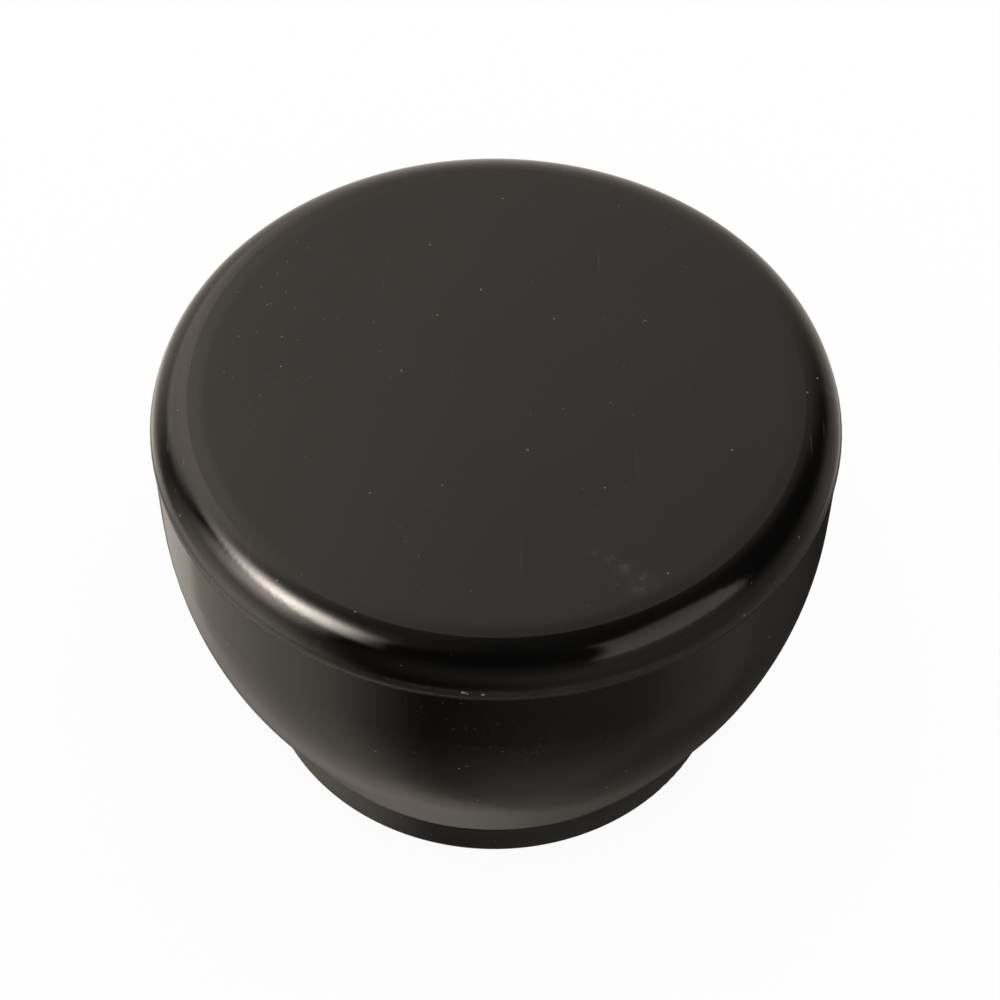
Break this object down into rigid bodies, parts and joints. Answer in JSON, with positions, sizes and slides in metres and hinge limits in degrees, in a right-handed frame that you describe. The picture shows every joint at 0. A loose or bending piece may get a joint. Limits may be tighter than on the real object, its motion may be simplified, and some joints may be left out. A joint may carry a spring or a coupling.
{
  "type": "pipe cap",
  "caption": "Push-fit end cap for a 50 mm pipe: black moulded bowl with a flat top, blind sealed socket, grab ring and sliding release collet.",
  "frame": {"origin": "centre of the release collet's rim, on the plane the cap stands on", "axes": "+Z along the pipe's axis, from the mouth to the flat top; X and Y are any two directions across it"},
  "size_m": [0.0844, 0.0844, 0.0567],
  "materials": {
    "shell_plastic": "glossy black moulded plastic, satin on the flat top",
    "collet_plastic": "black, semi-matt",
    "inner_plastic": "natural off-white, semi-matt",
    "seal_rubber": "black, lightly greased",
    "stainless_sheet": "spring steel sheet and wire"
  },
  "bodies": {
    "housing": {"end_cover": "shell_plastic", "body_shell": "shell_plastic", "stop_pad": "seal_rubber", "rear_seal": "seal_rubber", "seal_spacer": "inner_plastic", "front_seal": "seal_rubber", "seal_washer": "inner_plastic", "tooth_support": "inner_plastic", "grab_ring": "stainless_sheet", "retainer_ring": "collet_plastic", "retaining_wire": "stainless_sheet"},
    "collet": {"release_collet": "collet_plastic"}
  },
  "joints": [
    {"name": "collet_slide", "type": "slide", "parent": "housing", "child": "collet", "axis": [0, 0, 1], "range_m": [0, 0.0022]}
  ]
}
